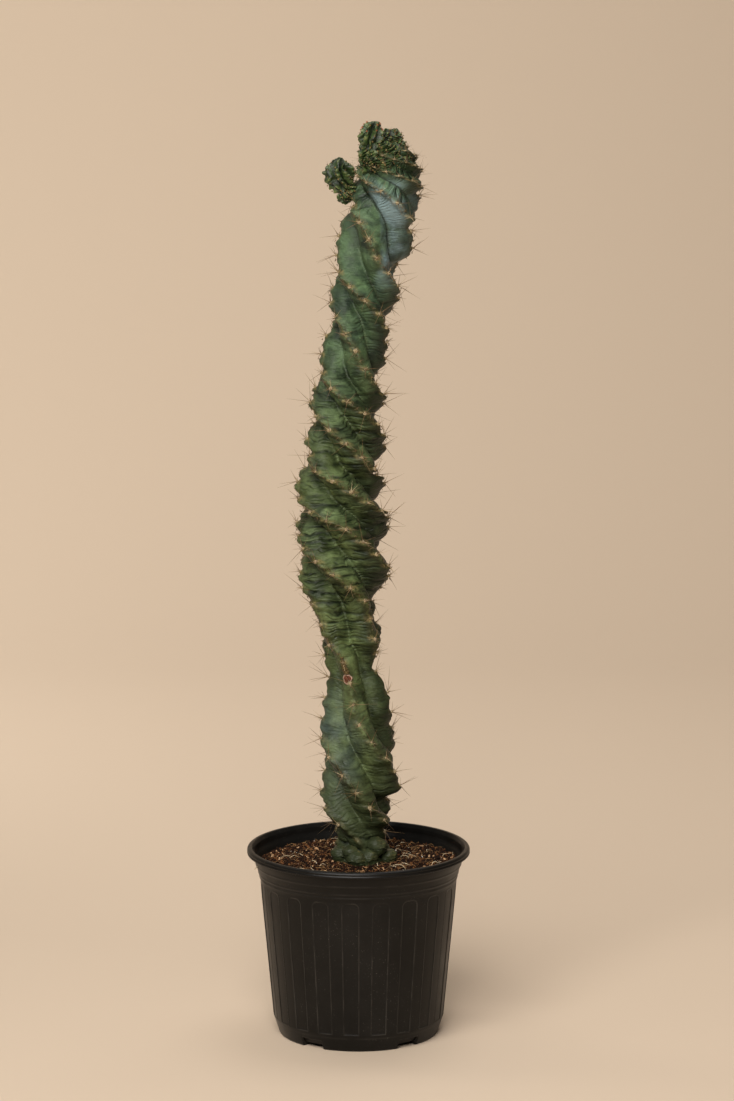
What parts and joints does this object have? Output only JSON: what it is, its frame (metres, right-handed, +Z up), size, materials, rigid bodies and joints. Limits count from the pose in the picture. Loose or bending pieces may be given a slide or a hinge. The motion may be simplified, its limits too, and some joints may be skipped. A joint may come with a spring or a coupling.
{
  "type": "potted spiral cactus",
  "caption": "Tall spiral cactus with deep winding ribs, young heads at its tip and pups at its shoulder, in soil in a black nursery pot.",
  "frame": {"origin": "where the pot's axis meets the floor, under the middle of the rim", "axes": "+Z up along the pot's axis and the plant's height, -Y towards the plant's front, +X to the right seen from the front"},
  "size_m": [0.254, 0.254, 1.0408],
  "materials": {
    "black_plastic": "satin, a little dusty",
    "potting_soil": "rough coir and bark crumbs",
    "cactus_flesh": "waxy skin with a pale bloom",
    "young_growth": "knobbly young skin"
  },
  "bodies": {
    "root": {"pot": "black_plastic", "soil": "potting_soil", "stem": "cactus_flesh", "head_tall": "young_growth", "head_back": "young_growth", "pup_side": "young_growth", "pup_small": "young_growth"}
  },
  "joints": []
}
